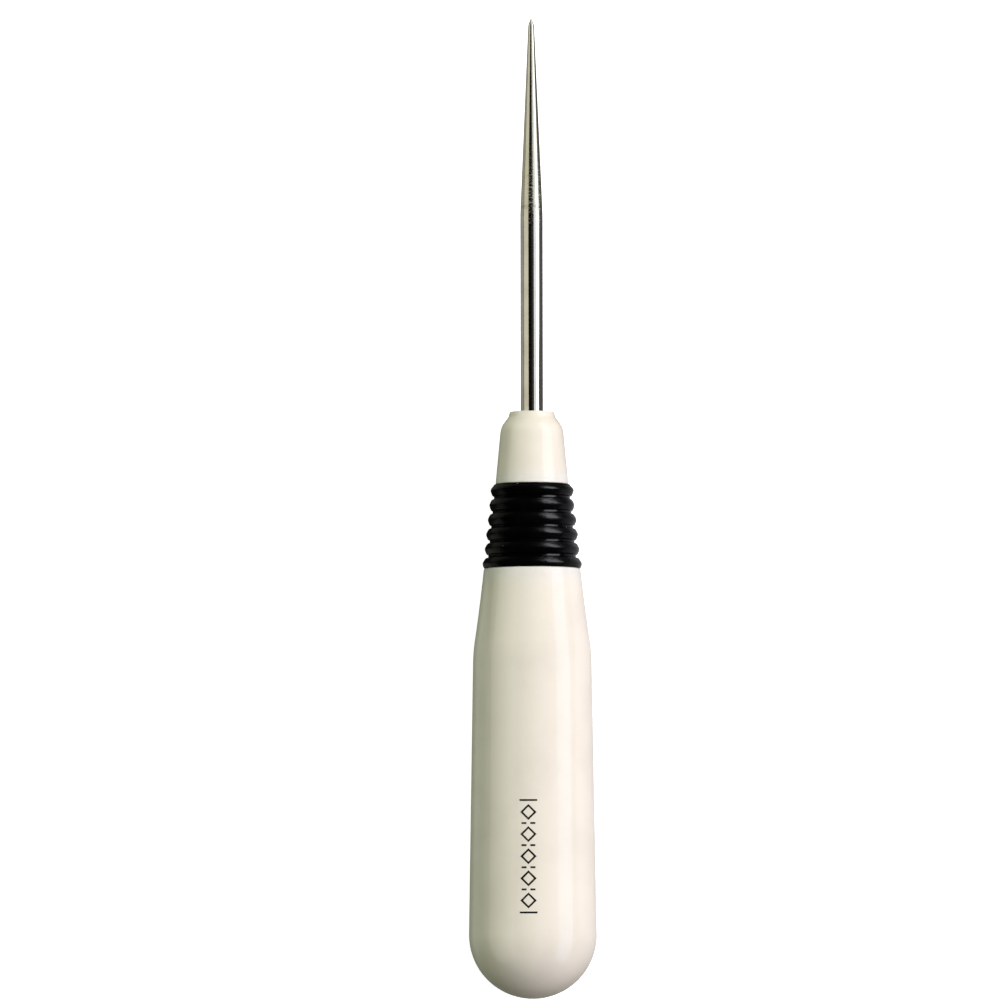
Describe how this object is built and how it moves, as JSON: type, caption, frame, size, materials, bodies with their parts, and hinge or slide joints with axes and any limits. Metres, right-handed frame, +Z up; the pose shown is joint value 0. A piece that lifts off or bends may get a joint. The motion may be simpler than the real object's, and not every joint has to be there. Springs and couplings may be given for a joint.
{
  "type": "bookbinding awl",
  "caption": "Slim steel needle with a long ground taper, set in a pale plastic nose above a ribbed black grip sleeve and a smooth, domed plastic handle.",
  "frame": {"origin": "on the surface that the awl lies on, below the axis, halfway between the needle's point and the handle's domed end", "axes": "+Y along the awl towards the needle's point, +Z up from the surface, +X to the right seen from above with the point forward"},
  "size_m": [0.0174, 0.134, 0.0174],
  "materials": {
    "needle_steel": "ground and polished, faint grinding lines",
    "ivory_nose": "gloss moulded",
    "black_elastomer": "satin",
    "ivory_handle": "gloss moulded, one small ink print"
  },
  "bodies": {
    "root": {"needle": "needle_steel", "nose_core": "ivory_nose", "grip_sleeve": "black_elastomer", "handle_shell": "ivory_handle"}
  },
  "joints": []
}
